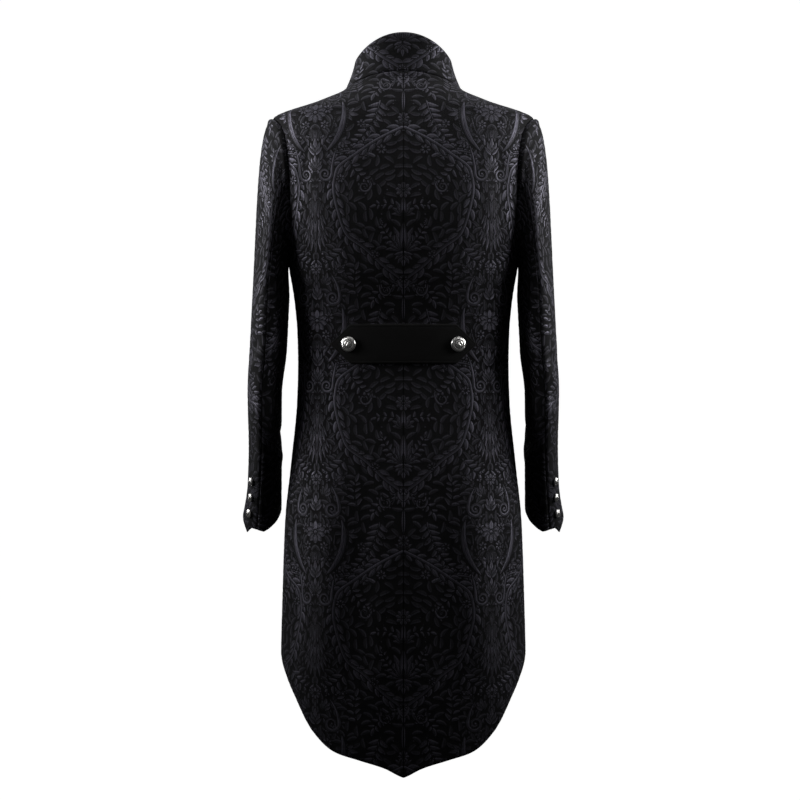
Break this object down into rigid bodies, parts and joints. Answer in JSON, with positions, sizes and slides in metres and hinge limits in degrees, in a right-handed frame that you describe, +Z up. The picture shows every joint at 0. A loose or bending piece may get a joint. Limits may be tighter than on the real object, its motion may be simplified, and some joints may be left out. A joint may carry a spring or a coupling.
{
  "type": "steampunk tailcoat",
  "caption": "Long black brocade tailcoat, worn-shaped and empty, with a tall stand collar, a buttoned half belt at the back and a pointed tail.",
  "frame": {"origin": "middle of the neck opening, level with the inner ends of the shoulder seams", "axes": "+Z up, the coat's front towards -Y and its back towards +Y, +X to the wearer's left"},
  "size_m": [0.5224, 0.2448, 1.1568],
  "materials": {
    "brocade": "black damask brocade, satin figures on a matt ground",
    "velvet": "black velvet",
    "silver": "polished silver-coloured metal"
  },
  "bodies": {
    "root": {"back_left": "brocade", "back_right": "brocade", "front_left": "brocade", "front_right": "brocade", "sleeve_upper_left": "brocade", "sleeve_upper_right": "brocade", "sleeve_under_left": "brocade", "sleeve_under_right": "brocade", "collar": "brocade", "back_belt": "velvet", "belt_button_left": "silver", "belt_button_right": "silver", "cuff_button_left_1": "silver", "cuff_button_left_2": "silver", "cuff_button_left_3": "silver", "cuff_button_right_1": "silver", "cuff_button_right_2": "silver", "cuff_button_right_3": "silver"}
  },
  "joints": []
}
